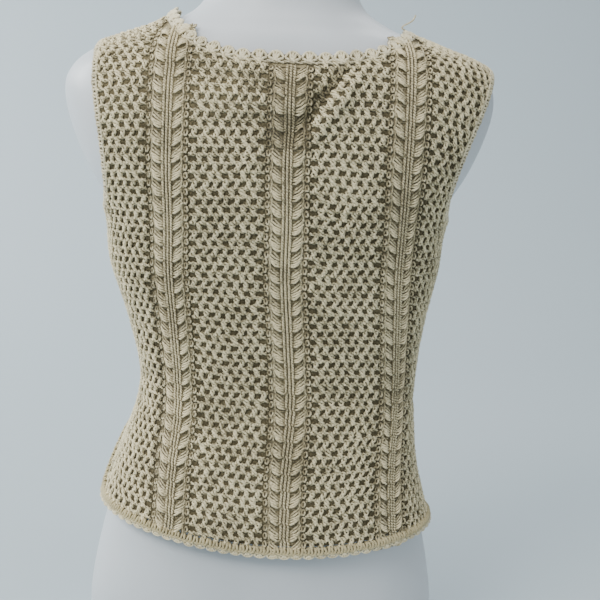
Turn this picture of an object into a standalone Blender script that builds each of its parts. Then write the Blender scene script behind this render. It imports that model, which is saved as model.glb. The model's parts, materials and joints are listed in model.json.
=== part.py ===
"""A sleeveless crochet top standing on a smooth, limbless dress form.

Metres, +Z up. The form's flat base is at z = 0 and its middle is the origin. The back of the top
faces -Y and its front faces +Y; +X is on the right of someone who looks at the back.
"""
import math

import bmesh
import bpy
import numpy as np

# ---------------------------------------------------------------- driving dimensions
CLOTH = 0.0024            # thickness of the crocheted wall
SEAM = 0.0003             # gap between two pieces that are sewn together
BAND_GAP = 0.0008         # an edging starts this far from the panel, so that their rims stay clear
NECK_BAND = 0.0085        # width of the scalloped edging round the neck
ARM_BAND = 0.0045         # width of the plain edging round each armhole
HEM_ROLL = 0.0042         # radius of the hem, which curls into a roll
HEM_BACK, HEM_SIDE, HEM_FRONT = 0.1180, 0.1300, 0.2000   # heights of the hem round the body
HEM_TILT = 0.006          # the hem is this much lower on the right and higher on the left
HEM_CLIMB = 0.070         # the length over which the front hem climbs from each side seam
HEM_FLARE = 0.001         # the cloth stands out this far at the hem,
LEFT_FLARE = 0.005        # and this much more where the front hem climbs on the left,
FLARE_REACH = 0.018       # fading over this height
NECK_BACK, NECK_FRONT = 0.5230, 0.4600                   # lowest points of the neckline
NECK_HALF = 0.1085        # half the width of the neck opening
NECK_SHIFT = 0.008        # and how far to the right its middle is
NECK_BACK_POWER, NECK_FRONT_POWER = 3.6, 2.4             # flatter necklines have higher powers
SHOULDER_SHIFT = 0.0145   # the armholes sit this far to the right on the shoulders
SIDE_TURN = 0.020         # how far the side seams have turned round the hips at the hem
UNDERARM = 0.392          # height of the bottom of the armholes
COWL_DEPTH = 0.007        # the slack below the back neckline stands out by this much
COWL_MIDDLE, COWL_HALF_WIDTH = 0.012, 0.055              # its place across the back
COWL_HEIGHT, COWL_HALF_HEIGHT = 0.500, 0.022             # and up the back

AROUND_FORM, UP_FORM = 44, 36
ACROSS_PANEL, UP_PANEL = 26, 27
TO_UNDERARM, TO_SHOULDER = 13, 23      # rows up a panel's edge, to either end of its armhole
AROUND_NECK, AROUND_ARM, AROUND_HEM = 84, 48, 84

# Sections of the form from its base to its neck: height, half width, depth to the back,
# depth to the front, and the power of the outline, where 2 is an ellipse.
FORM_SECTIONS = (
    (0.000, 0.1530, 0.1000, 0.0840, 2.20),
    (0.005, 0.1575, 0.1040, 0.0885, 2.20),
    (0.045, 0.1580, 0.1060, 0.0900, 2.20),
    (0.112, 0.1450, 0.0990, 0.0900, 2.20),
    (0.170, 0.1240, 0.0830, 0.0870, 2.20),
    (0.235, 0.1090, 0.0720, 0.0820, 2.20),
    (0.290, 0.1200, 0.0800, 0.0880, 2.25),
    (0.345, 0.1340, 0.0920, 0.1050, 2.30),
    (0.390, 0.1445, 0.1000, 0.1030, 2.40),
    (0.433, 0.1690, 0.1035, 0.0870, 2.40),
    (0.466, 0.1830, 0.1020, 0.0720, 2.35),
    (0.492, 0.1890, 0.0965, 0.0610, 2.30),
    (0.5105, 0.1855, 0.0885, 0.0545, 2.30),
    (0.5274, 0.1685, 0.0815, 0.0500, 2.30),
    (0.5445, 0.1300, 0.0735, 0.0470, 2.20),
    (0.5572, 0.0940, 0.0650, 0.0465, 2.10),
    (0.5800, 0.0670, 0.0540, 0.0520, 2.00),
    (0.636, 0.0560, 0.0440, 0.0590, 2.00),
    (0.648, 0.0540, 0.0420, 0.0570, 2.00),
    (0.651, 0.0500, 0.0380, 0.0530, 2.00),
)

# Sections of the middle of the cloth wall: the same columns, and how far each leans to the right.
TOP_SECTIONS = (
    (0.080, 0.1580, 0.1130, 0.1020, 2.15, 0.0000),
    (0.110, 0.1520, 0.1100, 0.1000, 2.15, 0.0000),
    (0.140, 0.1435, 0.1055, 0.0985, 2.20, 0.0005),
    (0.175, 0.1335, 0.0985, 0.0970, 2.25, 0.0025),
    (0.235, 0.1235, 0.0870, 0.0925, 2.25, 0.0080),
    (0.290, 0.1310, 0.0905, 0.0970, 2.25, 0.0050),
    (0.345, 0.1455, 0.0985, 0.1130, 2.30, 0.0010),
    (0.390, 0.1515, 0.1060, 0.1105, 2.40, 0.0010),
    (0.433, 0.1745, 0.1090, 0.0930, 2.40, 0.0000),
    (0.466, 0.1885, 0.1080, 0.0780, 2.35, 0.0000),
    (0.494, 0.1955, 0.1025, 0.0670, 2.30, 0.0000),
    (0.515, 0.1920, 0.0950, 0.0605, 2.30, 0.0000),
    (0.5295, 0.1745, 0.0880, 0.0560, 2.30, 0.0000),
    (0.5430, 0.1380, 0.0800, 0.0540, 2.20, 0.0000),
    (0.5580, 0.1035, 0.0725, 0.0540, 2.10, 0.0000),
    (0.5860, 0.0780, 0.0620, 0.0570, 2.00, 0.0000),
)

# The armhole's edge, seen from the back: height, and distance from the middle.
ARMHOLE_EDGE = (
    (0.360, 0.1800),
    (0.384, 0.1550),
    (0.396, 0.1465),
    (0.412, 0.1440),
    (0.437, 0.1475),
    (0.460, 0.1525),
    (0.485, 0.1595),
    (0.505, 0.1645),
    (0.520, 0.1665),
    (0.545, 0.1675),
)

MATERIALS = {
    "form_white": ((0.78, 0.80, 0.82, 1.0), 0.45),
    "yarn_sand": ((0.42, 0.36, 0.26, 1.0), 0.85),
    "yarn_edge": ((0.45, 0.38, 0.26, 1.0), 0.85),
}


# ---------------------------------------------------------------- sections and lengths
def smooth_row(table, place):
    """A row of a table between its rows: place counts rows, and a cubic joins them."""
    rows = np.asarray(table)
    place = min(max(place, 0.0), len(rows) - 1.0)
    first = min(int(place), len(rows) - 2)
    step = place - first
    before, start = rows[max(first - 1, 0)], rows[first]
    end, after = rows[first + 1], rows[min(first + 2, len(rows) - 1)]
    leave, arrive = (end - before) / 2, (after - start) / 2
    return (start * (2 * step**3 - 3 * step**2 + 1) + end * (3 * step**2 - 2 * step**3)
            + leave * (step**3 - 2 * step**2 + step) + arrive * (step**3 - step**2))


def outline(section, turn):
    """Points of a section. A turn of 0 is the middle of the back, and pi / 2 the right side."""
    height, half, back, front, power = section[:5]
    turn = np.asarray(turn, dtype=float)
    side, depth = np.sin(turn), -np.cos(turn)
    x = half * np.sign(side) * np.abs(side) ** (2 / power)
    y = np.sign(depth) * np.abs(depth) ** (2 / power) * np.where(depth < 0, back, front)
    return np.stack([x, y, np.full_like(x, height)], axis=-1)


class Section:
    """One section of the cloth, measured along its own length from the middle of the back."""
    turns = np.linspace(-math.pi, math.pi, 721)
    middle, side = 360, 540

    def __init__(self, place):
        row = smooth_row(TOP_SECTIONS, place)
        self.height, self.half, self.lean = row[0], row[1], row[5]
        self.points = outline(row, self.turns)
        steps = np.linalg.norm(np.diff(self.points, axis=0), axis=1)
        lengths = np.concatenate([[0.0], np.cumsum(steps)])
        self.lengths = lengths - lengths[self.middle]
        self.quarter = self.lengths[self.side]
        self.whole = self.lengths[-1]

    def at(self, length):
        """The cloth's point at a length, with the slack below the back neckline."""
        length = (length + self.whole) % (2 * self.whole) - self.whole
        x, y, z = [np.interp(length, self.lengths, self.points[:, i]) for i in range(3)]
        if y < 0:
            across = (x - COWL_MIDDLE) / COWL_HALF_WIDTH
            up = (z - COWL_HEIGHT) / COWL_HALF_HEIGHT
            y -= COWL_DEPTH * math.exp(-across**2 - up**2)
        return np.array([x + self.lean, y, z])

    def length_where(self, reach, front):
        """The length from the middle of the back to where the section is reach from the middle."""
        if reach >= self.half:
            return self.quarter
        x = self.points[:, 0]
        if front:
            return float(np.interp(-reach, -x[self.side:], self.lengths[self.side:]))
        return float(np.interp(reach, x[self.middle:self.side + 1],
                               self.lengths[self.middle:self.side + 1]))

    def reach(self, side):
        """How far from the middle an armhole's edge is, on the left (-1) or the right."""
        heights, reaches = np.array(ARMHOLE_EDGE).T
        up = min(max((self.height - UNDERARM) / (NECK_BACK - UNDERARM), 0), 1)
        return float(np.interp(self.height, heights, reaches)) + side * SHOULDER_SHIFT * up

    def edges(self, front):
        """Lengths of the left and the right edge of the back or the front panel."""
        drop = min(max((UNDERARM - self.height) / (UNDERARM - HEM_BACK), 0), 1)
        turned = SIDE_TURN * drop**1.5
        left = self.length_where(self.reach(-1), front)
        right = self.length_where(self.reach(1), front)
        return turned - left, turned + right

    def length(self, share, front):
        """The length at a share of a panel's width, from -1 at its left edge to 1."""
        left, right = self.edges(front)
        if front:
            left, right = left + 2 * self.whole - SEAM / 2, right + SEAM / 2
            return left + (right - left) * (share + 1) / 2
        left, right = left + SEAM / 2, right - SEAM / 2
        return left + (right - left) * (share + 1) / 2


PLACES = np.linspace(0, len(TOP_SECTIONS) - 1, 451)
SECTIONS = [Section(place) for place in PLACES]


def smooth_step(value):
    value = min(max(value, 0.0), 1.0)
    return value * value * (3 - 2 * value)


def hem_height(section, length):
    """The back hem dips to its middle, and the front hem climbs from each side seam."""
    left, right = section.edges(False)
    front = not left <= length <= right
    past = min(length - right, left + 2 * section.whole - length) if front else 0.0
    turn = length / section.whole * math.pi
    level = HEM_BACK + (HEM_SIDE - HEM_BACK) * math.sin(turn)**2 if not front else HEM_SIDE
    climb = (HEM_FRONT - HEM_SIDE) * smooth_step(past / HEM_CLIMB)
    return level + climb - HEM_TILT * math.sin(turn)


def flare(point, above_hem):
    """Moves a point outwards where the cloth stands out near the hem."""
    left_front = math.exp(-((point[0] + 0.115) / 0.035)**2) * smooth_step((point[1] + 0.03) / 0.06)
    out = (HEM_FLARE + LEFT_FLARE * left_front) * math.exp(-above_hem / FLARE_REACH)
    return point + np.array([point[0], point[1], 0.0]) / math.hypot(point[0], point[1]) * out


def neck_point(side):
    """The height on the shoulder where the neckline crosses it, on the left (-1) or right."""
    upper = [section for section in SECTIONS if section.height > NECK_BACK]
    halves = [-section.half for section in upper]
    heights = [section.height for section in upper]
    return float(np.interp(-(NECK_HALF + side * NECK_SHIFT), halves, heights))


NECK_POINTS = {-1: neck_point(-1), 1: neck_point(1)}


def neck_height(x, front):
    top = NECK_POINTS[-1 if x < NECK_SHIFT else 1]
    reach = min(abs(x - NECK_SHIFT) / NECK_HALF, 1.0)
    if front:
        return NECK_FRONT + (top - NECK_FRONT) * reach**NECK_FRONT_POWER
    return NECK_BACK + (top - NECK_BACK) * reach**NECK_BACK_POWER


def crossing(gaps):
    """The first place where a list of gaps, one for each place, stops being negative."""
    last = int(np.argmax(gaps >= 0)) if np.any(gaps >= 0) else len(gaps) - 1
    return float(np.interp(0.0, gaps[last - 1:last + 1], PLACES[last - 1:last + 1]))


def armhole_ends(side):
    """The places where a panel's edge leaves the side seam and meets the shoulder seam."""
    inside = [section.reach(side) < section.half for section in SECTIONS]
    first, last = np.nonzero(inside)[0][[0, -1]]
    return PLACES[first - 1], PLACES[last + 1]


ARMHOLES = {-1: armhole_ends(-1), 1: armhole_ends(1)}


def panel_column(share, front):
    """Points from the hem to the neckline along one line up a panel, and its end places."""
    lengths = [section.length(share, front) for section in SECTIONS]
    line = np.array([s.at(length) for s, length in zip(SECTIONS, lengths)])
    hems = np.array([hem_height(s, length) for s, length in zip(SECTIONS, lengths)])
    tops = np.array([neck_height(point[0], front) for point in line])
    ends = crossing(line[:, 2] - hems), crossing(line[:, 2] - tops)
    along = np.concatenate([[0.0], np.cumsum(np.linalg.norm(np.diff(line, axis=0), axis=1))])
    start, stop = np.interp(ends, PLACES, along)
    underarm, shoulder = np.interp(ARMHOLES[1 if share > 0 else -1], PLACES, along)
    rows = np.arange(UP_PANEL + 1)
    wanted = np.interp(rows, [0, TO_UNDERARM, UP_PANEL], [start, underarm, stop])
    level = np.interp(rows, [0, TO_UNDERARM, TO_SHOULDER, UP_PANEL],
                      [start, underarm, min(shoulder, stop), stop])
    wanted += (level - wanted) * abs(share)**6
    column = np.stack([np.interp(wanted, along, line[:, i]) for i in range(3)], axis=1)
    return np.array([flare(point, length - wanted[0]) for point, length in zip(column, wanted)])


def panel_points(front):
    """The grid of a whole panel, [across, up], closer together towards its sides."""
    crowding = 1.15
    shares = np.sin(np.linspace(-1, 1, ACROSS_PANEL + 1) * crowding) / math.sin(crowding)
    return np.array([panel_column(share, front) for share in shares])


def armhole_loops(back, front, side):
    """The closed line round an armhole, on the panels' edges, and another line inside it."""
    edge, inside = (-1, -3) if side > 0 else (0, 2)
    stretch = slice(TO_UNDERARM, TO_SHOULDER + 1)
    outer = np.vstack([back[edge, stretch], front[edge, stretch][::-1]])
    wider = slice(TO_UNDERARM - 2, TO_SHOULDER + 2)
    above, below = back[edge, TO_SHOULDER + 2], back[edge, TO_UNDERARM - 3]
    inner = np.vstack([back[inside, wider], above, front[inside, wider][::-1], below])
    return outer, inner


# ---------------------------------------------------------------- objects
def clear_scene():
    for item in list(bpy.data.objects):
        bpy.data.objects.remove(item, do_unlink=True)


def material(name):
    colour, roughness = MATERIALS[name]
    made = bpy.data.materials.get(name) or bpy.data.materials.new(name)
    made.use_nodes = True
    shader = made.node_tree.nodes["Principled BSDF"]
    shader.inputs["Base Color"].default_value = colour
    shader.inputs["Roughness"].default_value = roughness
    return made


def add_object(name, bm, finish):
    bmesh.ops.recalc_face_normals(bm, faces=bm.faces)
    mesh = bpy.data.meshes.new(name)
    bm.to_mesh(mesh)
    bm.free()
    mesh.shade_smooth()
    made = bpy.data.objects.new(name, mesh)
    made.data.materials.append(material(finish))
    bpy.context.scene.collection.objects.link(made)
    return made


def give_wall(made):
    wall = made.modifiers.new("wall", "SOLIDIFY")
    wall.thickness = CLOTH
    wall.offset = 0.0


def make_form():
    """A tall cylinder, cut into levels, each drawn out to its section."""
    bm = bmesh.new()
    bmesh.ops.create_cone(bm, cap_ends=True, cap_tris=False, segments=AROUND_FORM,
                          radius1=1.0, radius2=1.0, depth=1.0)
    uprights = [edge for edge in bm.edges if abs(edge.verts[0].co.z - edge.verts[1].co.z) > 0.5]
    bmesh.ops.subdivide_edges(bm, edges=uprights, cuts=UP_FORM - 1)
    levels = len(FORM_SECTIONS) - 1
    for vert in bm.verts:
        section = smooth_row(FORM_SECTIONS, (vert.co.z + 0.5) * levels)
        turn = math.atan2(vert.co.x, -vert.co.y)
        vert.co = outline(section, turn)
    add_object("dress_form", bm, "form_white")


def make_panel(name, points):
    """A flat grid, drawn onto the panel's points and given its thickness."""
    bm = bmesh.new()
    bmesh.ops.create_grid(bm, x_segments=ACROSS_PANEL, y_segments=UP_PANEL, size=1.0)
    for vert in bm.verts:
        across = round((vert.co.x + 1) / 2 * ACROSS_PANEL)
        up = round((vert.co.y + 1) / 2 * UP_PANEL)
        vert.co = points[across, up]
    give_wall(add_object(name, bm, "yarn_sand"))


def spread(loop, count):
    """A closed loop of points, evenly spaced along its length."""
    closed = np.vstack([loop, loop[:1]])
    lengths = np.concatenate([[0.0], np.cumsum(np.linalg.norm(np.diff(closed, axis=0), axis=1))])
    wanted = np.linspace(0, lengths[-1], count, endpoint=False)
    return np.stack([np.interp(wanted, lengths, closed[:, i]) for i in range(3)], axis=1)


def soften(values, rounds):
    for _ in range(rounds):
        values = (np.roll(values, 1, axis=0) + 2 * values + np.roll(values, -1, axis=0)) / 4
    return values


def carry_on(edge, inner):
    """Directions that carry a panel on past its edge, from the nearest points further in."""
    nearest = [inner[np.argmin(np.linalg.norm(inner - point, axis=1))] for point in edge]
    outward = soften(edge - np.array(nearest), 12)
    along = np.roll(edge, -3, axis=0) - np.roll(edge, 3, axis=0)
    along /= np.linalg.norm(along, axis=1)[:, None]
    outward -= along * np.sum(along * outward, axis=1)[:, None]
    return outward / np.linalg.norm(outward, axis=1)[:, None]


def make_band(name, edge, inner, count, width):
    """An edging that carries a panel's edge on. inner is the same loop, a little way in."""
    finer = 4
    edge = spread(edge, count * finer)
    outward = carry_on(edge, spread(inner, count * finer))
    edge, outward = edge[::finer], outward[::finer]
    bm = bmesh.new()
    bmesh.ops.create_cone(bm, cap_ends=False, segments=count, radius1=1, radius2=1, depth=1)
    for vert in bm.verts:
        index = round(math.atan2(vert.co.x, -vert.co.y) / (2 * math.pi) * count) % count
        reach = BAND_GAP if vert.co.z < 0 else width
        vert.co = edge[index] + outward[index] * reach
    give_wall(add_object(name, bm, "yarn_edge"))


def make_hem(edge, inner):
    """The hem's roll hangs just past the panels' lower edges."""
    finer = 4
    edge = spread(edge, AROUND_HEM * finer)
    outward = carry_on(edge, spread(inner, AROUND_HEM * finer))
    middle = (edge + outward * (HEM_ROLL + BAND_GAP))[::finer]
    curve = bpy.data.curves.new("hem_roll", "CURVE")
    curve.dimensions = "3D"
    curve.bevel_depth = HEM_ROLL
    curve.bevel_resolution = 2
    spline = curve.splines.new("POLY")
    spline.points.add(len(middle) - 1)
    spline.use_cyclic_u = True
    for point, place in zip(spline.points, middle):
        point.co = (*place, 1)
    made = bpy.data.objects.new("hem_roll", curve)
    curve.materials.append(material("yarn_edge"))
    bpy.context.scene.collection.objects.link(made)


def round_both(back, front, row):
    """A closed loop along one row of both panels."""
    return np.vstack([back[:, row], front[::-1, row][1:-1]])


def main():
    clear_scene()
    make_form()
    back, front = panel_points(False), panel_points(True)
    make_panel("back_panel", back)
    make_panel("front_panel", front)
    neck, below = round_both(back, front, -1), round_both(back, front, -2)
    make_band("neck_edging", neck, below, AROUND_NECK, NECK_BAND)
    for side, name in ((-1, "left_armhole_edging"), (1, "right_armhole_edging")):
        make_band(name, *armhole_loops(back, front, side), AROUND_ARM, ARM_BAND)
    make_hem(round_both(back, front, 0), round_both(back, front, 1))


main()
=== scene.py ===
"""A crochet top on a dress form: the yarn's stitches, its edgings, and the form under them."""
import json
import math
import random

import bmesh
import bpy
import numpy as np
from mathutils import Matrix, Vector

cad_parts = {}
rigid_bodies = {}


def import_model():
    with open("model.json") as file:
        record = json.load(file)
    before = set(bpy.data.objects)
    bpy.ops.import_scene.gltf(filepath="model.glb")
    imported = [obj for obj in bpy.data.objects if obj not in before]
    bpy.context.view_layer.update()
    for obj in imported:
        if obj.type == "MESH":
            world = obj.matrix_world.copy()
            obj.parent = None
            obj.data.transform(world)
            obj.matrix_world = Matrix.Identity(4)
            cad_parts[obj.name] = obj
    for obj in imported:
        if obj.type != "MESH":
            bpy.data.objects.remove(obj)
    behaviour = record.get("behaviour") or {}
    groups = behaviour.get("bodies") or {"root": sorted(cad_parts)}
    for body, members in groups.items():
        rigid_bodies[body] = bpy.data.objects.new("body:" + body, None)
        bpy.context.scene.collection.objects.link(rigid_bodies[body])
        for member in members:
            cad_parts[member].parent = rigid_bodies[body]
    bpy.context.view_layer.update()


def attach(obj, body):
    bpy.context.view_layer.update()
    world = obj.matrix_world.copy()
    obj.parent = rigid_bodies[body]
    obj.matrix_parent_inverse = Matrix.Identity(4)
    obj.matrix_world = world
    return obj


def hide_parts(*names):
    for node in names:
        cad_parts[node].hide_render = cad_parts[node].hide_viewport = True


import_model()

# ---------------------------------------------------------------- sizes, in metres
SEAM = 0.0003
BAND_GAP = 0.0008
NECK_BAND = 0.0085
ARM_BAND = 0.0045
HEM_ROLL = 0.0042
HEM_BACK, HEM_SIDE, HEM_FRONT = 0.1180, 0.1300, 0.2000
HEM_TILT, HEM_CLIMB = 0.006, 0.070
HEM_FLARE, LEFT_FLARE, FLARE_REACH = 0.001, 0.005, 0.018
NECK_BACK, NECK_FRONT = 0.5230, 0.4600
NECK_HALF, NECK_SHIFT = 0.1085, 0.008
NECK_BACK_POWER, NECK_FRONT_POWER = 3.6, 2.4
SHOULDER_SHIFT, SIDE_TURN, UNDERARM = 0.0145, 0.020, 0.392
COWL_DEPTH, COWL_MIDDLE, COWL_HALF_WIDTH = 0.007, 0.012, 0.055
COWL_HEIGHT, COWL_HALF_HEIGHT = 0.500, 0.022

STITCH, ROW = 0.0089, 0.0070           # one hole of the mesh, across and up
RIB, RIB_APART = 0.0370, 0.1000        # a rib's width, and the distance between ribs
LEVEL = 0.300                          # the height where lengths up the cloth start
SMALL_STITCH = 0.0060                  # one stitch of a seam or an armhole edging
SHELL = 0.0138                         # one scallop of the neck edging
WRAP = 0.0058                          # one stitch of the rolled hem
SCAN_HALF = 0.245                      # rows and edges are looked for this far from the middle
PAST_SHOULDER, PAST_SIDE = 0.0034, 0.0006   # rows run this far past a panel's edge
PAST_NECK, RIB_PAST_HEM = 0.0022, 0.0050
GROUND_STEP, GROUND_WIDE, GROUND_HIGH, GROUND_UP = 0.0038, 0.486, 0.540, 0.035
GROUND_BEHIND, GROUND_WALL = 0.0007, 0.0008
SAME_POINT = 0.00005                   # points nearer than this are joined

# height, half width, depth to the back, depth to the front, roundness
FORM_SECTIONS = (
    (0.0000, 0.1530, 0.1000, 0.0840, 2.20),
    (0.0050, 0.1575, 0.1040, 0.0885, 2.20),
    (0.0450, 0.1580, 0.1060, 0.0900, 2.20),
    (0.1120, 0.1450, 0.0990, 0.0900, 2.20),
    (0.1700, 0.1240, 0.0830, 0.0870, 2.20),
    (0.2350, 0.1090, 0.0720, 0.0820, 2.20),
    (0.2900, 0.1200, 0.0800, 0.0880, 2.25),
    (0.3450, 0.1340, 0.0920, 0.1050, 2.30),
    (0.3900, 0.1445, 0.1000, 0.1030, 2.40),
    (0.4330, 0.1690, 0.1035, 0.0870, 2.40),
    (0.4660, 0.1830, 0.1020, 0.0720, 2.35),
    (0.4920, 0.1890, 0.0965, 0.0610, 2.30),
    (0.5105, 0.1855, 0.0885, 0.0545, 2.30),
    (0.5274, 0.1685, 0.0815, 0.0500, 2.30),
    (0.5445, 0.1300, 0.0735, 0.0470, 2.20),
    (0.5572, 0.0940, 0.0650, 0.0465, 2.10),
    (0.5800, 0.0670, 0.0540, 0.0520, 2.00),
    (0.6360, 0.0560, 0.0440, 0.0590, 2.00),
    (0.6480, 0.0540, 0.0420, 0.0570, 2.00),
    (0.6510, 0.0500, 0.0380, 0.0530, 2.00),
)
# height, half width, depth to the back, depth to the front, roundness, lean to the right
TOP_SECTIONS = (
    (0.0800, 0.1580, 0.1130, 0.1020, 2.15, 0.0000),
    (0.1100, 0.1520, 0.1100, 0.1000, 2.15, 0.0000),
    (0.1400, 0.1435, 0.1055, 0.0985, 2.20, 0.0005),
    (0.1750, 0.1335, 0.0985, 0.0970, 2.25, 0.0025),
    (0.2350, 0.1235, 0.0870, 0.0925, 2.25, 0.0080),
    (0.2900, 0.1310, 0.0905, 0.0970, 2.25, 0.0050),
    (0.3450, 0.1455, 0.0985, 0.1130, 2.30, 0.0010),
    (0.3900, 0.1515, 0.1060, 0.1105, 2.40, 0.0010),
    (0.4330, 0.1745, 0.1090, 0.0930, 2.40, 0.0000),
    (0.4660, 0.1885, 0.1080, 0.0780, 2.35, 0.0000),
    (0.4940, 0.1955, 0.1025, 0.0670, 2.30, 0.0000),
    (0.5150, 0.1920, 0.0950, 0.0605, 2.30, 0.0000),
    (0.5295, 0.1745, 0.0880, 0.0560, 2.30, 0.0000),
    (0.5430, 0.1380, 0.0800, 0.0540, 2.20, 0.0000),
    (0.5580, 0.1035, 0.0725, 0.0540, 2.10, 0.0000),
    (0.5860, 0.0780, 0.0620, 0.0570, 2.00, 0.0000),
)
ARMHOLE_EDGE = (
    (0.360, 0.1800),
    (0.384, 0.1550),
    (0.396, 0.1465),
    (0.412, 0.1440),
    (0.437, 0.1475),
    (0.460, 0.1525),
    (0.485, 0.1595),
    (0.505, 0.1645),
    (0.520, 0.1665),
    (0.545, 0.1675),
)


# ---------------------------------------------------------------- the cloth's sections
def smooth_row(table, place):
    """A row of a table between its rows: place counts rows, and a cubic joins them."""
    rows = np.asarray(table)
    place = min(max(place, 0.0), len(rows) - 1.0)
    first = min(int(place), len(rows) - 2)
    step = place - first
    before, start = rows[max(first - 1, 0)], rows[first]
    end, after = rows[first + 1], rows[min(first + 2, len(rows) - 1)]
    leave, arrive = (end - before) / 2, (after - start) / 2
    return (start * (2 * step**3 - 3 * step**2 + 1) + end * (3 * step**2 - 2 * step**3)
            + leave * (step**3 - 2 * step**2 + step) + arrive * (step**3 - step**2))


def outline(section, turn):
    """Points of a section. A turn of 0 is the middle of the back, and pi / 2 the right side."""
    height, half, back, front, power = section[:5]
    turn = np.asarray(turn, dtype=float)
    side, depth = np.sin(turn), -np.cos(turn)
    x = half * np.sign(side) * np.abs(side) ** (2 / power)
    y = np.sign(depth) * np.abs(depth) ** (2 / power) * np.where(depth < 0, back, front)
    return np.stack([x, y, np.full_like(x, height)], axis=-1)


def smooth_step(value):
    value = np.clip(value, 0.0, 1.0)
    return value * value * (3 - 2 * value)


TURNS = np.linspace(-math.pi, math.pi, 481)
MIDDLE, SIDE = 240, 360
PLACES = np.linspace(0, len(TOP_SECTIONS) - 1, 301)
ROWS = np.array([smooth_row(TOP_SECTIONS, place) for place in PLACES])
HEIGHTS, HALVES, LEANS = ROWS[:, 0], ROWS[:, 1], ROWS[:, 5]
RINGS = np.array([outline(row, TURNS) for row in ROWS])
STEPS = np.linalg.norm(np.diff(RINGS, axis=1), axis=2)
LENGTHS = np.concatenate([np.zeros((len(RINGS), 1)), np.cumsum(STEPS, axis=1)], axis=1)
LENGTHS -= LENGTHS[:, [MIDDLE]]
QUARTERS, WHOLES = LENGTHS[:, SIDE], LENGTHS[:, -1]


def ring_points(ring, lengths):
    """Points of one section at lengths round it from the middle of the back."""
    whole = WHOLES[ring]
    lengths = (lengths + whole) % (2 * whole) - whole
    found = [np.interp(lengths, LENGTHS[ring], RINGS[ring, :, i]) for i in range(3)]
    x, y, z = found
    across = (x - COWL_MIDDLE) / COWL_HALF_WIDTH
    up = (z - COWL_HEIGHT) / COWL_HALF_HEIGHT
    y = y - np.where(y < 0, COWL_DEPTH * np.exp(-across**2 - up**2), 0.0)
    return np.stack([x + LEANS[ring], y, z], axis=-1)


def edge_lengths(side, front):
    """Where the panels' side edges are on each section, on the left (-1) or the right."""
    heights, reaches = np.array(ARMHOLE_EDGE).T
    found = []
    for ring, height in enumerate(HEIGHTS):
        up = np.clip((height - UNDERARM) / (NECK_BACK - UNDERARM), 0, 1)
        reach = float(np.interp(height, heights, reaches)) + side * SHOULDER_SHIFT * up
        x = RINGS[ring, :, 0]
        length = QUARTERS[ring]
        if reach < HALVES[ring] and front:
            length = np.interp(-reach, -x[SIDE:], LENGTHS[ring, SIDE:])
        elif reach < HALVES[ring]:
            length = np.interp(reach, x[MIDDLE:SIDE + 1], LENGTHS[ring, MIDDLE:SIDE + 1])
        drop = np.clip((UNDERARM - height) / (UNDERARM - HEM_BACK), 0, 1)
        found.append(SIDE_TURN * drop**1.5 + side * length)
    return np.array(found)


EDGES = {(side, front): edge_lengths(side, front) for side in (-1, 1) for front in (False, True)}


def neck_point(side):
    """The height on the shoulder where the neckline crosses it, on the left (-1) or right."""
    upper = HEIGHTS > NECK_BACK
    return float(np.interp(-(NECK_HALF + side * NECK_SHIFT), -HALVES[upper], HEIGHTS[upper]))


NECK_POINTS = {-1: neck_point(-1), 1: neck_point(1)}


def neck_heights(x, front):
    top = np.where(x < NECK_SHIFT, NECK_POINTS[-1], NECK_POINTS[1])
    reach = np.clip(np.abs(x - NECK_SHIFT) / NECK_HALF, 0, 1)
    low, power = (NECK_FRONT, NECK_FRONT_POWER) if front else (NECK_BACK, NECK_BACK_POWER)
    return low + (top - low) * reach**power


def hem_heights(places, lengths):
    """The hem's height at lengths from the middle of the back, on sections given by place."""
    wholes = np.interp(places, PLACES, WHOLES)
    right = np.interp(places, PLACES, EDGES[1, False])
    left = np.interp(places, PLACES, EDGES[-1, False])
    turn = lengths / wholes * math.pi
    past = np.minimum(lengths - right, left + 2 * wholes - lengths)
    back = HEM_BACK + (HEM_SIDE - HEM_BACK) * np.sin(turn)**2
    climb = (HEM_FRONT - HEM_SIDE) * smooth_step(past / HEM_CLIMB)
    return np.where(past > 0, HEM_SIDE + climb, back) - HEM_TILT * np.sin(turn)


# ---------------------------------------------------------------- soft folds
# Each fold: front or not, middle across, middle up, half width, half height, lean, depth.
# Lengths across are from the panel's middle and lengths up from LEVEL; minus is a trough.
FOLDS = (
    (False, 0.036, 0.194, 0.024, 0.0120, 1.40, -0.0064),
    (False, 0.050, 0.194, 0.024, 0.0120, 1.40, 0.0050),
    (False, 0.010, 0.168, 0.016, 0.0090, 0.60, -0.0030),
    (False, -0.012, 0.206, 0.050, 0.0100, -0.15, -0.0022),
    (False, -0.010, 0.176, 0.045, 0.007, 0.10, -0.0018),
    (False, -0.060, 0.214, 0.050, 0.006, -0.25, -0.0016),
    (False, -0.138, -0.060, 0.030, 0.006, 0.25, -0.0024),
    (False, -0.142, -0.082, 0.030, 0.006, 0.15, -0.0020),
    (False, 0.142, -0.070, 0.028, 0.006, -0.25, -0.0018),
    (False, 0.060, -0.060, 0.050, 0.012, -0.10, -0.0012),
    (False, -0.050, -0.085, 0.045, 0.010, 0.12, -0.0012),
    (True, 0.030, 0.130, 0.045, 0.010, 0.30, -0.0022),
    (True, -0.040, 0.120, 0.050, 0.009, -0.25, -0.0020),
    (True, 0.120, -0.060, 0.035, 0.007, -0.25, -0.0022),
    (True, -0.125, -0.068, 0.035, 0.007, 0.20, -0.0020),
    (True, -0.010, 0.020, 0.060, 0.012, 0.08, -0.0014),
    (True, 0.060, -0.030, 0.050, 0.012, -0.15, -0.0012),
)


def fold_depths(front, u, v):
    """How far the soft folds lift the cloth, at lengths across and up it."""
    lift = np.zeros_like(u)
    for on_front, across, up, half_width, half_height, lean, depth in FOLDS:
        if on_front == front:
            along = u - across
            away = v - up - lean * along
            lift += depth * np.exp(-(along / half_width)**2 - (away / half_height)**2)
    return lift


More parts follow.
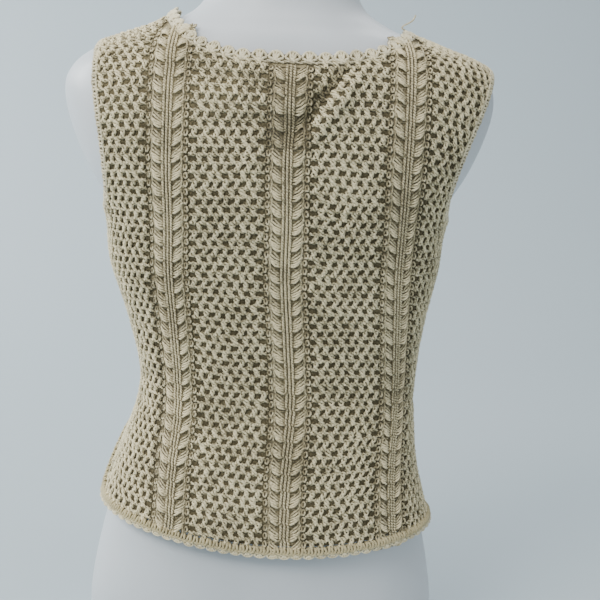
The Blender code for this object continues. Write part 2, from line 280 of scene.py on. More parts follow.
class Panel:
    """One side of the cloth laid flat: u is the length across it and v the length up it."""
    step = 0.0025

    def __init__(self, front):
        self.front = front
        self.us = np.arange(-0.250, 0.2501, self.step)
        self.vs = np.arange(-0.235, 0.3301, self.step)
        base = WHOLES if front else np.zeros_like(WHOLES)
        lines = np.array([ring_points(k, self.us + base[k]) for k in range(len(RINGS))])
        gaps = np.linalg.norm(np.diff(lines, axis=0), axis=2)
        along = np.concatenate([np.zeros((1, len(self.us))), np.cumsum(gaps, axis=0)])
        level = int(np.argmin(np.abs(HEIGHTS - LEVEL)))
        along -= along[level]
        shape = (len(self.vs), len(self.us))
        self.points = np.zeros(shape + (3,))
        self.places = np.zeros(shape)
        for i in range(len(self.us)):
            self.places[:, i] = np.interp(self.vs, along[:, i], PLACES)
            for axis in range(3):
                self.points[:, i, axis] = np.interp(self.vs, along[:, i], lines[:, i, axis])
        u, v = np.meshgrid(self.us, self.vs)
        wholes = np.interp(self.places, PLACES, WHOLES)
        x, y, z = np.moveaxis(self.points, 2, 0)
        self.hem = z - hem_heights(self.places, u + wholes if front else u)
        self.neck = neck_heights(x - np.interp(self.places, PLACES, LEANS), front) - z
        left, right = (1, -1) if front else (-1, 1)
        offset = wholes if front else 0.0
        first = np.interp(self.places, PLACES, EDGES[left, front]) - offset
        last = np.interp(self.places, PLACES, EDGES[right, front]) + offset
        self.side = np.minimum(u - first, last - u) - SEAM / 2
        for gap in (self.hem, self.neck, self.side):
            slope = np.hypot(*np.gradient(gap, self.step))
            gap /= np.clip(slope, 0.25, 2.0)
        self.inside = np.minimum(np.minimum(self.hem, self.neck), self.side)
        self.flare(x, y)
        self.find_normals()
        lift = fold_depths(front, u, v) * smooth_step(self.inside / 0.02)
        self.points += self.normals * lift[..., None]
        self.find_normals()

    def flare(self, x, y):
        """The cloth stands out a little near the hem, and more at the left of the front."""
        left_front = np.exp(-((x + 0.115) / 0.035)**2) * smooth_step((y + 0.03) / 0.06)
        fade = np.exp(-np.clip(self.hem, -0.01, 1.0) / FLARE_REACH)
        out = (HEM_FLARE + LEFT_FLARE * left_front) * fade
        away = np.stack([x, y, np.zeros_like(x)], axis=-1)
        away /= np.maximum(np.linalg.norm(away, axis=2), 1e-6)[..., None]
        self.points += away * out[..., None]

    def find_normals(self):
        up, across = np.gradient(self.points, axis=(0, 1))
        normals = np.cross(across, up)
        self.normals = normals / np.maximum(np.linalg.norm(normals, axis=2), 1e-9)[..., None]

    def read(self, table, u, v):
        """A table's values at lengths across and up the panel."""
        i = np.clip((np.asarray(u) - self.us[0]) / self.step, 0, len(self.us) - 1.001)
        j = np.clip((np.asarray(v) - self.vs[0]) / self.step, 0, len(self.vs) - 1.001)
        i0, j0 = i.astype(int), j.astype(int)
        i1, j1 = i - i0, j - j0
        if table.ndim == 3:
            i1, j1 = i1[..., None], j1[..., None]
        low = table[j0, i0] * (1 - i1) + table[j0, i0 + 1] * i1
        high = table[j0 + 1, i0] * (1 - i1) + table[j0 + 1, i0 + 1] * i1
        return low * (1 - j1) + high * j1

    def lay(self, flat):
        """Takes flat points (across, up, out) onto the cloth."""
        u, v, w = flat[:, 0], flat[:, 1], flat[:, 2]
        normals = self.read(self.normals, u, v)
        normals /= np.linalg.norm(normals, axis=1)[:, None]
        return self.read(self.points, u, v) + normals * w[:, None]


BACK, FRONT = Panel(False), Panel(True)


# ---------------------------------------------------------------- lines along the edges
def smooth_line(line, rounds, closed):
    for _ in range(rounds):
        before, after = np.roll(line, 1, axis=0), np.roll(line, -1, axis=0)
        softer = (before + 2 * line + after) / 4
        if not closed:
            softer[0], softer[-1] = line[0], line[-1]
        line = softer
    return line


class Run:
    """A line along an edge: flat points are (along it, across it, out from the cloth)."""

    def __init__(self, points, normals, closed, turned=1.0):
        if closed:
            points = np.vstack([points, points[:1]])
            normals = np.vstack([normals, normals[:1]])
        lengths = np.concatenate([[0], np.cumsum(np.linalg.norm(np.diff(points, axis=0), axis=1))])
        count = max(int(lengths[-1] / 0.0015), 8)
        self.lengths = np.linspace(0, lengths[-1], count + 1)
        even = [np.interp(self.lengths, lengths, points[:, i]) for i in range(3)]
        out = [np.interp(self.lengths, lengths, normals[:, i]) for i in range(3)]
        points, normals = np.stack(even, axis=1), np.stack(out, axis=1)
        if closed:
            points, normals = points[:-1], normals[:-1]
        points = smooth_line(points, 12, closed)
        normals = smooth_line(normals, 30, closed)
        if closed:
            along = np.roll(points, -2, axis=0) - np.roll(points, 2, axis=0)
        else:
            along = np.gradient(points, axis=0)
        along /= np.linalg.norm(along, axis=1)[:, None]
        across = np.cross(normals, along) * turned
        across = smooth_line(across, 30, closed)
        across /= np.linalg.norm(across, axis=1)[:, None]
        normals = np.cross(along, across) * turned
        if closed:
            points, across, normals = [np.vstack([t, t[:1]]) for t in (points, across, normals)]
        self.points, self.across, self.normals = points, across, normals
        self.whole, self.closed = self.lengths[-1], closed

    def lay(self, flat):
        along = flat[:, 0] % self.whole if self.closed else flat[:, 0]
        read = [
            np.stack([np.interp(along, self.lengths, table[:, i]) for i in range(3)], axis=1)
            for table in (self.points, self.across, self.normals)
        ]
        return read[0] + read[1] * flat[:, [1]] + read[2] * flat[:, [2]]


def level_line(panel, gap, us, upward):
    """Where a gap to an edge closes on each column of a panel, with the cloth's normals."""
    vs = np.arange(-0.20, 0.30, 0.0005)
    found = []
    for u in us:
        gaps = panel.read(gap, np.full_like(vs, u), vs)
        inside = np.nonzero(gaps > 0)[0]
        known = len(inside) > 0 and (not upward or inside[-1] < len(vs) - 1)
        found.append(vs[inside[-1] if upward else inside[0]] if known else np.nan)
    return np.array(found)


def edge_of_panel(panel, gap, upward):
    """The points of a panel's hem or neckline, from its first side to its last."""
    us = np.arange(-SCAN_HALF, SCAN_HALF + 0.0001, 0.001)
    vs = level_line(panel, gap, us, upward)
    known = ~np.isnan(vs)
    us, vs = us[known], vs[known]
    kept = panel.read(panel.side, us, vs) > -0.0003
    flat = np.stack([us[kept], vs[kept], np.zeros(kept.sum())], axis=1)
    normals = panel.read(panel.normals, us[kept], vs[kept])
    return panel.lay(flat), normals


def loop_of(gap_name, upward):
    """A closed edge round both panels: along the back to the right, then round the front."""
    back, back_normals = edge_of_panel(BACK, getattr(BACK, gap_name), upward)
    front, front_normals = edge_of_panel(FRONT, getattr(FRONT, gap_name), upward)
    return np.vstack([back, front]), np.vstack([back_normals, front_normals])


def ring_line(lengths, rings):
    """Points and normals where the sections in rings are at these lengths round them."""
    points, normals = [], []
    for ring in rings:
        here = lengths[ring]
        near = ring_points(ring, np.array([here - 0.002, here, here + 0.002]))
        upper = ring_points(min(ring + 2, len(RINGS) - 1), lengths[ring:ring + 1])[0]
        lower = ring_points(max(ring - 2, 0), lengths[ring:ring + 1])[0]
        points.append(near[1])
        normal = np.cross(near[2] - near[0], upper - lower)
        normals.append(normal / np.linalg.norm(normal))
    return np.array(points), np.array(normals)


def armhole_run(side):
    open_rings = [k for k in range(len(RINGS)) if edge_gap(k, side) > 0]
    rings = list(range(open_rings[0] - 1, open_rings[-1] + 2))
    back, back_normals = ring_line(EDGES[side, False], rings)
    front, front_normals = ring_line(EDGES[side, True], rings[::-1])
    points = np.vstack([back, front[1:-1]])
    normals = np.vstack([back_normals, front_normals[1:-1]])
    return Run(points, normals, True, turned=-side)


def edge_gap(ring, side):
    """The length of open armhole between the panels on one section."""
    return side * (EDGES[side, True][ring] - EDGES[side, False][ring]) - 0.0005


def shoulder_run(side):
    top = HEIGHTS < NECK_POINTS[side]
    rings = [k for k in np.nonzero(top)[0] if HEIGHTS[k] > 0.5 and edge_gap(k, side) <= 0]
    points, normals = ring_line(side * QUARTERS, rings)
    return Run(points, normals, False)


def side_run(side):
    rings = [k for k in range(len(RINGS)) if HEIGHTS[k] < 0.45 and edge_gap(k, side) <= 0]
    lengths = EDGES[side, False]
    above = []
    for k in rings:
        if HEIGHTS[k] > hem_heights(np.array([PLACES[k]]), lengths[k:k + 1])[0]:
            above.append(k)
    points, normals = ring_line(lengths, above)
    return Run(points, normals, False)


NECK = Run(*loop_of("neck", True), True)
HEM = Run(*loop_of("hem", False), True, turned=-1)
ARMHOLES = {side: armhole_run(side) for side in (-1, 1)}
SHOULDERS = {side: shoulder_run(side) for side in (-1, 1)}
SIDES = {side: side_run(side) for side in (-1, 1)}


# ---------------------------------------------------------------- materials
def node(tree, kind, x, y, **settings):
    made = tree.nodes.new(kind)
    made.location = (x, y)
    for name, value in settings.items():
        setattr(made, name, value)
    return made


def feed(tree, made, inputs):
    """Joins each input of a node to an output, or sets it to a value."""
    for name, value in inputs.items():
        if isinstance(value, bpy.types.NodeSocket):
            tree.links.new(value, made.inputs[name])
        else:
            made.inputs[name].default_value = value
    return made


def noise(tree, coords, scale, detail, x, y):
    made = node(tree, "ShaderNodeTexNoise", x, y)
    return feed(tree, made, {"Scale": scale, "Detail": detail, "Vector": coords}).outputs["Fac"]


def spread_out(tree, value, low, high, x, y, ends=("From Min", "From Max")):
    made = node(tree, "ShaderNodeMapRange", x, y)
    return feed(tree, made, {ends[0]: low, ends[1]: high, "Value": value}).outputs["Result"]


def blend(tree, fac, first, second, x, y):
    made = node(tree, "ShaderNodeMix", x, y, data_type="RGBA")
    return feed(tree, made, {"Factor": fac, "A": first, "B": second}).outputs["Result"]


def add_up(tree, value, share, base, x, y):
    made = node(tree, "ShaderNodeMath", x, y, operation="MULTIPLY_ADD")
    return feed(tree, made, {0: value, 1: share, 2: base}).outputs["Value"]


def relief(tree, height, strength, distance, x, y):
    made = node(tree, "ShaderNodeBump", x, y)
    inputs = {"Strength": strength, "Distance": distance, "Height": height}
    return feed(tree, made, inputs).outputs["Normal"]


def new_look(name):
    made = bpy.data.materials.new(name)
    made.use_nodes = True
    return made, made.node_tree, made.node_tree.nodes["Principled BSDF"]


TO_ENDS = ("To Min", "To Max")


def yarn_group():
    """Spun yarn: flecked colour, darker and warmer patches, fibre height and roughness."""
    tree = bpy.data.node_groups.new("spun_yarn", "ShaderNodeTree")
    sockets = (("Light", "INPUT", "Color"), ("Middle", "INPUT", "Color"),
               ("Dark", "INPUT", "Color"), ("Tone", "INPUT", "Float"),
               ("Color", "OUTPUT", "Color"), ("Height", "OUTPUT", "Float"),
               ("Roughness", "OUTPUT", "Float"))
    for name, way, kind in sockets:
        tree.interface.new_socket(name, in_out=way, socket_type="NodeSocket" + kind)
    start = node(tree, "NodeGroupInput", -1200, 0)
    end = node(tree, "NodeGroupOutput", 700, 0)
    place = node(tree, "ShaderNodeTexCoord", -1200, -300).outputs["Object"]
    fleck = spread_out(tree, noise(tree, place, 620, 3, -900, 200), 0.30, 0.70, -650, 200)
    patch = spread_out(tree, noise(tree, place, 26, 3, -900, -300), 0.30, 0.70, -650, -300)
    flecked = add_up(tree, fleck, 0.72, start.outputs["Tone"], -420, 50)
    patched = add_up(tree, patch, 0.22, flecked, -420, -200)
    to_middle = spread_out(tree, patched, 0.20, 0.78, -200, 150)
    to_light = spread_out(tree, patched, 0.78, 1.42, -200, -100)
    lower = blend(tree, to_middle, start.outputs["Dark"], start.outputs["Middle"], 50, 150)
    fibre = noise(tree, place, 1500, 2, -200, -450)
    height = node(tree, "ShaderNodeMath", 100, -300, operation="ADD")
    feed(tree, height, {0: fibre, 1: fleck})
    feed(tree, end, {"Color": blend(tree, to_light, lower, start.outputs["Light"], 280, 0),
                     "Height": height.outputs["Value"],
                     "Roughness": spread_out(tree, fleck, 0.78, 0.96, 100, -500, TO_ENDS)})
    return tree


SPUN_YARN = yarn_group()


def yarn_material(name, light, middle, dark, bump=0.5, sheen=0.18):
    made, tree, shader = new_look(name)
    yarn = node(tree, "ShaderNodeGroup", -400, 0, node_tree=SPUN_YARN)
    tone = node(tree, "ShaderNodeAttribute", -650, -200, attribute_name="tone")
    feed(tree, yarn, {"Light": (*light, 1), "Middle": (*middle, 1), "Dark": (*dark, 1),
                      "Tone": tone.outputs["Fac"]})
    feed(tree, shader, {"Base Color": yarn.outputs["Color"],
                        "Roughness": yarn.outputs["Roughness"],
                        "Normal": relief(tree, yarn.outputs["Height"], bump, 0.0004, -180, -250),
                        "Sheen Weight": sheen, "Sheen Roughness": 0.6, "Specular IOR Level": 0.2})
    return made


YARN_LOOK = yarn_material("sand_yarn", (0.88, 0.78, 0.50), (0.325, 0.278, 0.160),
                          (0.104, 0.085, 0.042))
RIB_LOOK = yarn_material("rib_yarn", (0.85, 0.742, 0.47), (0.318, 0.267, 0.152),
                         (0.098, 0.078, 0.038))
EDGE_LOOK = yarn_material("edging_yarn", (0.86, 0.78, 0.54), (0.41, 0.355, 0.225),
                          (0.13, 0.105, 0.058))
# Painted shade: a darker copy of the yarn for the rolled hem, for the shade in the roll's crease.
HEM_SHADED_LOOK = yarn_material("hem_yarn", (0.56, 0.485, 0.28), (0.235, 0.193, 0.098),
                         (0.075, 0.059, 0.027))
# Painted shade: a darker copy of the yarn for the cloth and cores under the stitches. It stands for
# their inner strands, coloured dark for the shade seen through the holes.
SHADED_UNDERLAY_LOOK = yarn_material("yarn_underlay_painted_shade", (0.50, 0.43, 0.255), (0.205, 0.170, 0.095),
                            (0.084, 0.069, 0.038), bump=0.9, sheen=0.0)


def form_material():
    """Smooth moulded form: pale blue-grey with slight clouding and fine handling marks."""
    made, tree, shader = new_look("form_shell")
    place = node(tree, "ShaderNodeTexCoord", -1100, 0).outputs["Object"]
    cloud = spread_out(tree, noise(tree, place, 9, 3, -900, 100), 0.3, 0.7, -650, 100)
    ramp = node(tree, "ShaderNodeValToRGB", -400, 100)
    ramp.color_ramp.elements[0].color = (0.565, 0.60, 0.625, 1)
    ramp.color_ramp.elements[1].color = (0.64, 0.675, 0.70, 1)
    feed(tree, ramp, {"Fac": cloud})
    marks = noise(tree, place, 160, 4, -900, -200)
    feed(tree, shader, {"Base Color": ramp.outputs["Color"],
                        "Roughness": spread_out(tree, marks, 0.34, 0.52, -400, -150, TO_ENDS),
                        "Normal": relief(tree, marks, 0.05, 0.0003, -400, -400)})
    return made


FORM_LOOK = form_material()


# ---------------------------------------------------------------- putting pieces together
def add_piece(name, mesh, look, stands_for=()):
    made = bpy.data.objects.new(name, mesh)
    bpy.context.scene.collection.objects.link(made)
    mesh.materials.clear()
    mesh.materials.append(look)
    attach(made, "root")
    if stands_for:
        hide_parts(*stands_for)
    return made


def mesh_from(bm, name):
    mesh = bpy.data.meshes.new(name)
    bm.to_mesh(mesh)
    bm.free()
    mesh.shade_smooth()
    return mesh


def finished_mesh(made):
    """The mesh that an object ends up as. The object itself is removed."""
    bpy.context.view_layer.update()
    graph = bpy.context.evaluated_depsgraph_get()
    mesh = bpy.data.meshes.new_from_object(made.evaluated_get(graph))
    bpy.data.objects.remove(made)
    return mesh


def points_of(mesh):
    flat = np.empty(len(mesh.vertices) * 3)
    mesh.vertices.foreach_get("co", flat)
    return flat.reshape(-1, 3)


def move_points(mesh, lay):
    """Takes every point of a mesh through a function of flat points."""
    mesh.vertices.foreach_set("co", lay(points_of(mesh)).ravel())
    mesh.update()


def paint_light_on_raised_yarn(mesh):
    """Painted light and shade: yarn that stands out of the cloth is coloured lighter, and the yarn
    between darker.
    """
    out = points_of(mesh)[:, 2]
    values = np.empty(len(mesh.vertices))
    tone = mesh.attributes["tone"]
    tone.data.foreach_get("value", values)
    tone.data.foreach_set("value", values * 0.8 + 0.75 * np.clip((out - 0.0003) / 0.0018, -0.4, 1))


workshop = bpy.data.collections.new("stitch_patterns")
bpy.context.scene.collection.children.link(workshop)
PATTERNS = []


def pattern(name, strands):
    """A stitch's yarn: each strand is (half its thickness, points it goes through).

    A fourth number in a point thins or swells the yarn there.
    """
    curve = bpy.data.curves.new(name, "CURVE")
    curve.dimensions = "3D"
    curve.bevel_depth = 1.0
    curve.bevel_resolution = 0
    curve.use_fill_caps = False
    for radius, points in strands:
        spline = curve.splines.new("POLY")
        spline.points.add(len(points) - 1)
        for knot, place in zip(spline.points, points):
            knot.co = (*place[:3], 1)
            knot.radius = radius * (place[3] if len(place) > 3 else 1)
    rolled = bpy.data.objects.new(name + "_rolled", curve)
    workshop.objects.link(rolled)
    mesh = finished_mesh(rolled)
    mesh.shade_smooth()
    made = bpy.data.objects.new(f"{len(PATTERNS):03d}_{name}", mesh)
    workshop.objects.link(made)
    PATTERNS.append(name)
    return len(PATTERNS) - 1


chance = random.Random(7)


def about(value, share=0.12):
    return value * (1 + chance.uniform(-share, share))


def braid_strands(width, radius, sway, lift):
    """Two strands that cross over each other twice along a stitch's width."""
    strands = []
    for way in (1, -1):
        points = []
        for step in range(5):
            x = (step / 4 - 0.5) * width
            y = way * sway * math.cos(step * math.pi / 2) + chance.uniform(-1, 1) * 0.0002
            z = lift + way * 0.0006 * math.sin(step * math.pi / 2 + 0.4)
            points.append((x, y if step not in (0, 4) else way * sway, z))
        strands.append((radius, points))
    return strands


def post_strands(slant, height, radius, apart):
    """Three strands twisted up a post, with a loop of yarn round its middle."""
    strands = []
    for strand in range(3):
        points = []
        start = strand * math.pi * 2 / 3 + chance.uniform(-0.3, 0.3)
        for step in range(5):
            share = step / 4
            turn = start + share * math.pi * 1.25
            x = (share - 0.5) * slant + apart * math.cos(turn)
            y = -0.0002 + share * (height + 0.0004)
            z = 0.0004 + 0.0008 * math.sin(turn)
            swell = 0.88 + 0.30 * math.sin(turn)
            points.append((x + chance.uniform(-1, 1) * 0.00035, y, z, swell))
        strands.append((about(radius), points))
    tilt = about(0.0012, 0.5)
    loop = [(-0.0024, height / 2 - tilt, -0.0002), (0, height / 2, 0.0019),
            (0.0024, height / 2 + tilt, -0.0002)]
    strands.append((about(0.0007), loop))
    return strands


def rib_strands():
    """One repeat of a rib: twisted cords up its middle, a leaf each side, small rings outside."""
    strands = []
    height = 2 * ROW
    for cord in (-0.0031, 0, 0.0031):
        for way in (1, -1):
            points = []
            for step in range(13):
                turn = step / 12 * math.pi * 6 + cord * 400
                x = cord + way * 0.00092 * math.cos(turn) + chance.uniform(-1, 1) * 0.0001
                z = 0.0009 + way * 0.0009 * math.sin(turn)
                swell = 0.78 + 0.62 * max(way * math.sin(turn), -0.2)
                points.append((x, step / 12 * height, z, swell))
            strands.append((0.00068, points))
    for side in (-1, 1):
        for index in range(5):
            share = index / 4
            inner = (side * 0.0048, 0.0070 * share, 0.0006 - 0.0006 * share)
            outer = (side * (0.0098 + 0.0042 * (1 - abs(share - 0.5))),
                     0.0044 + 0.0092 * share, -0.0002)
            points = []
            for step in range(5):
                along = step / 4
                x = inner[0] + (outer[0] - inner[0]) * along
                bow = math.sin(along * math.pi)
                y = inner[1] + (outer[1] - inner[1]) * along - 0.0010 * bow * (1 - share)
                z = inner[2] + (0.0022 - 0.0016 * share) * bow + chance.uniform(0, 0.0004)
                points.append((x, y + chance.uniform(-1, 1) * 0.0004, z))
            strands.append((about(0.00092, 0.12), points))
        for lining in range(3):
            y = (lining + 0.6) / 3 * height
            points = [(side * (0.0045 + 0.0035 * step), y + chance.uniform(-1, 1) * 0.0008,
                       -0.0005 + 0.0004 * (step % 2)) for step in range(4)]
            strands.append((0.00100, points))
        for ring in range(2):
            middle = (side * about(0.0164, 0.04), (ring + about(0.5, 0.2)) * ROW)
            points = []
            for step in range(8):
                turn = step / 7 * math.pi * 2 + 0.6
                points.append((middle[0] + about(0.0015, 0.2) * math.cos(turn),
                               middle[1] + 0.0023 * math.sin(turn),
                               0.0004 + 0.0007 * math.cos(turn + ring)))
            strands.append((0.00100, points))
        for way in (1, -1):
            points = []
            for step in range(5):
                x = side * 0.0128 + way * 0.0008 * math.cos(step * math.pi / 2)
                points.append((x, step / 4 * height, 0.0002 + way * 0.0004))
            strands.append((0.0009, points))
    return strands


def shell_strands(width, height):
    """One scallop of an edging: a fan of loops standing on a braid, with a bound rim."""
    strands = braid_strands(width, 0.0010, 0.0006, 0.0004)
    rim = []
    for index in range(7):
        turn = math.radians(-75 + index * 25)
        x = math.sin(turn) * width * 0.47
        y = 0.0016 + math.cos(turn) * (height - 0.0030)
        rim.append((x, y, 0.0006 + 0.0005 * math.cos(turn)))
        if index % 2 == 0 or index == 3:
            root = (math.sin(turn) * 0.0012, 0.0008, 0.0006)
            middle = ((root[0] + x) / 2, (root[1] + y) / 2, 0.0016)
            strands.append((about(0.0013, 0.1), [root, middle, (x * 0.96, y * 0.96, 0.0006)]))
    strands.append((0.0014, rim))
    return strands


def chain_strands(width, height):
    """One stitch of a narrow edging: a braid, a short post and a bound edge."""
    strands = braid_strands(width, 0.0010, 0.0005, 0.0006)
    for way in (-1, 1):
        points = [(way * width * 0.10, 0.0, 0.0006), (way * width * 0.24, height * 0.5, 0.0012),
                  (way * width * 0.12 + 0.0006, height - 0.0006, 0.0004)]
        strands.append((0.0010, points))
    edge = [(x * width, height - 0.0008 + 0.0005 * math.cos(x * 2 * math.pi), 0.0003)
            for x in (-0.5, -0.25, 0, 0.25, 0.5)]
    strands.append((0.0011, edge))
    return strands


def roll_strands(width, radius):
    """One stitch of the rolled hem: two slanted wraps round the roll, and a knot outside."""
    strands = []
    middle = HEM_ROLL + BAND_GAP
    for way in (-1, 1):
        points = []
        for step in range(10):
            turn = step / 9 * math.pi * 2 - 0.6
            x = way * width * 0.25 + 0.22 * width * math.sin(turn + way * 0.5)
            points.append((x, middle - radius * math.cos(turn), radius * math.sin(turn)))
        strands.append((about(0.00125, 0.15), points))
    knot = [(-width * 0.45, middle + radius * 0.45, radius * 0.92),
            (0, middle + radius * 0.80, radius * 0.92),
            (width * 0.45, middle + radius * 0.45, radius * 0.92)]
    strands.append((0.0011, knot))
    return strands


BRAIDS = [pattern("braid", braid_strands(STITCH, about(0.00092, 0.06), about(0.00118), 0.0003))
          for _ in range(6)]
RIGHT_POSTS = [pattern("post_right", post_strands(about(0.0020), ROW, 0.00095, 0.00170))
               for _ in range(7)]
LEFT_POSTS = [pattern("post_left", post_strands(-about(0.0026), ROW, 0.00095, 0.00170))
              for _ in range(7)]
RIBS = [pattern("rib", rib_strands()) for _ in range(5)]
SHELLS = [pattern("shell", shell_strands(SHELL, NECK_BAND + 0.0030)) for _ in range(3)]
CHAINS = [pattern("chain", chain_strands(SMALL_STITCH, ARM_BAND + 0.0004)) for _ in range(3)]
ROLLS = [pattern("roll", roll_strands(WRAP, HEM_ROLL - 0.0009)) for _ in range(5)]
SEAMS = [pattern("seam", braid_strands(SMALL_STITCH, 0.0010, 0.0009, 0.0009))
         for _ in range(3)]


def stitching_nodes():
    """Sets a picked pattern at every point, turned and stretched as the point says."""
    tree = bpy.data.node_groups.new("set_out_stitches", "GeometryNodeTree")
    tree.interface.new_socket("Geometry", in_out="INPUT", socket_type="NodeSocketGeometry")
    tree.interface.new_socket("Geometry", in_out="OUTPUT", socket_type="NodeSocketGeometry")
    start = node(tree, "NodeGroupInput", -600, 200)
    end = node(tree, "NodeGroupOutput", 600, 0)
    patterns = node(tree, "GeometryNodeCollectionInfo", -600, 0)
    patterns.inputs["Collection"].default_value = workshop
    patterns.inputs["Separate Children"].default_value = True
    patterns.inputs["Reset Children"].default_value = True
    put = node(tree, "GeometryNodeInstanceOnPoints", 0, 0)
    put.inputs["Pick Instance"].default_value = True
    real = node(tree, "GeometryNodeRealizeInstances", 300, 0)
    sources = (("which", "INT", "Instance Index"), ("turn", "FLOAT_VECTOR", "Rotation"),
               ("stretch", "FLOAT_VECTOR", "Scale"))
    for row, (name, kind, socket) in enumerate(sources):
        read = node(tree, "GeometryNodeInputNamedAttribute", -350, -200 * row, data_type=kind)
        read.inputs["Name"].default_value = name
        tree.links.new(read.outputs["Attribute"], put.inputs[socket])
    tree.links.new(start.outputs["Geometry"], put.inputs["Points"])
    tree.links.new(patterns.outputs["Instances"], put.inputs["Instance"])
    tree.links.new(put.outputs["Instances"], real.inputs["Geometry"])
    tree.links.new(real.outputs["Geometry"], end.inputs["Geometry"])
    return tree


STITCHING = stitching_nodes()


def set_out(name, stitches, lay):
    """A mesh of stitches: each is (pattern, across, up, out, turn, width, height, tone)."""
    points = bpy.data.meshes.new(name + "_points")
    points.vertices.add(len(stitches))
    table = np.array(stitches, dtype=float)
    points.vertices.foreach_set("co", table[:, 1:4].ravel())
    which = points.attributes.new("which", "INT", "POINT")
    which.data.foreach_set("value", table[:, 0].astype(np.int32))
    turn = points.attributes.new("turn", "FLOAT_VECTOR", "POINT")
    turns = np.zeros((len(table), 3))
    turns[:, 2] = table[:, 4]
    turn.data.foreach_set("vector", turns.ravel())
    stretch = points.attributes.new("stretch", "FLOAT_VECTOR", "POINT")
    sizes = np.ones((len(table), 3))
    sizes[:, :2] = table[:, 5:7]
    stretch.data.foreach_set("vector", sizes.ravel())
    tone = points.attributes.new("tone", "FLOAT", "POINT")
    tone.data.foreach_set("value", table[:, 7])
    laid = bpy.data.objects.new(name + "_points", points)
    bpy.context.scene.collection.objects.link(laid)
    laid.modifiers.new("stitches", "NODES").node_group = STITCHING
    mesh = finished_mesh(laid)
    for spare in ("which", "turn", "stretch"):
        if spare in mesh.attributes:
            mesh.attributes.remove(mesh.attributes[spare])
    mesh.name = name
    # painted light on the raised yarn, painted shade on the yarn between
    paint_light_on_raised_yarn(mesh)
    move_points(mesh, lay)
    return mesh


def add_stitches(name, stitches, lay, look):
    return add_piece(name, set_out(name, stitches, lay), look)


# ---------------------------------------------------------------- rows of the cloth
def rib_middle(v):
    """Where the middle rib runs, across the back, at a length up the cloth."""
    return float(np.interp(v, (-0.20, -0.06, 0.20), (0.021, 0.012, 0.0105)))


def free_stretches(panel, v, middles):
    """The stretches of a row inside the panel and clear of its ribs."""
    us = np.arange(-SCAN_HALF, SCAN_HALF + 0.0001, 0.0005)
    level = np.full_like(us, v)
    past_edge = PAST_SHOULDER if v > 0.21 else PAST_SIDE
    clear = panel.read(panel.side, us, level) > -past_edge
    clear &= panel.read(panel.neck, us, level) > -PAST_NECK
    clear &= panel.read(panel.hem, us, level) > -ROW / 2
    for middle in middles:
        clear &= np.abs(us - middle) > RIB / 2
    stretches, first = [], None
    for index, open_here in enumerate(clear):
        if open_here and first is None:
            first = us[index]
        if first is not None and (not open_here or index == len(us) - 1):
            if us[index] - first > STITCH * 0.45:
                stretches.append((first, us[index]))
            first = None
    return stretches


def wave(u, v):
    """The rows' slight waviness."""
    return 0.0008 * math.sin(u * 41 + v * 17) + 0.0005 * math.sin(u * 97 - v * 31 + 1.3)


def rows_of_stitches(panel, seed):
    """All the stitches of a panel: (mesh of holes, ribs)."""
    luck = random.Random(seed)
    way = -1 if panel.front else 1
    mesh, ribs = [], []

    def shade(u, v):
        """Painted shade: stitches down in a fold are coloured darker, and those on a ridge a little
        lighter.
        """
        return 120 * min(float(fold_depths(panel.front, np.array(u), np.array(v))), 0.0010)

    for row in range(-32, 42):
        v = row * ROW
        centre = way * rib_middle(v)
        middles = [centre - RIB_APART, centre, centre + RIB_APART]
        even = row % 2 == 0
        for start, stop in free_stretches(panel, v + ROW / 2, middles):
            count = max(round((stop - start) / STITCH), 1)
            pitch = (stop - start) / count
            wide = pitch / STITCH
            for index in range(count):
                u = start + (index + 0.5) * pitch
                lift = wave(u, v) + luck.uniform(-1, 1) * 0.00012
                tone = luck.uniform(0.0, 0.30) + shade(u, v)
                mesh.append((luck.choice(BRAIDS), u, v + lift, luck.uniform(0, 0.0002),
                             0, wide, 1, tone))
            posts = range(1, count) if even else range(count)
            for index in posts:
                u = start + (index if even else index + 0.5) * pitch
                lift = wave(u, v) + luck.uniform(-1, 1) * 0.0003
                tone = luck.uniform(0.05, 0.42) + shade(u, v)
                kinds = LEFT_POSTS if even else RIGHT_POSTS
                mesh.append((luck.choice(kinds), u + luck.uniform(-1, 1) * 0.0006, v + lift,
                             luck.uniform(0, 0.0004), luck.uniform(-0.2, 0.2),
                             luck.uniform(0.9, 1.15), 1, tone))
        if even:
            for middle in middles:
                above_hem = float(panel.read(panel.hem, middle, v + ROW))
                below_neck = float(panel.read(panel.neck, middle, v + ROW))
                if above_hem > -RIB_PAST_HEM and below_neck > -0.001:
                    tone = luck.uniform(0, 0.25) + shade(middle, v + ROW)
                    ribs.append((luck.choice(RIBS), middle, v, 0.0, 0, 1, 1, tone))
    return mesh, ribs


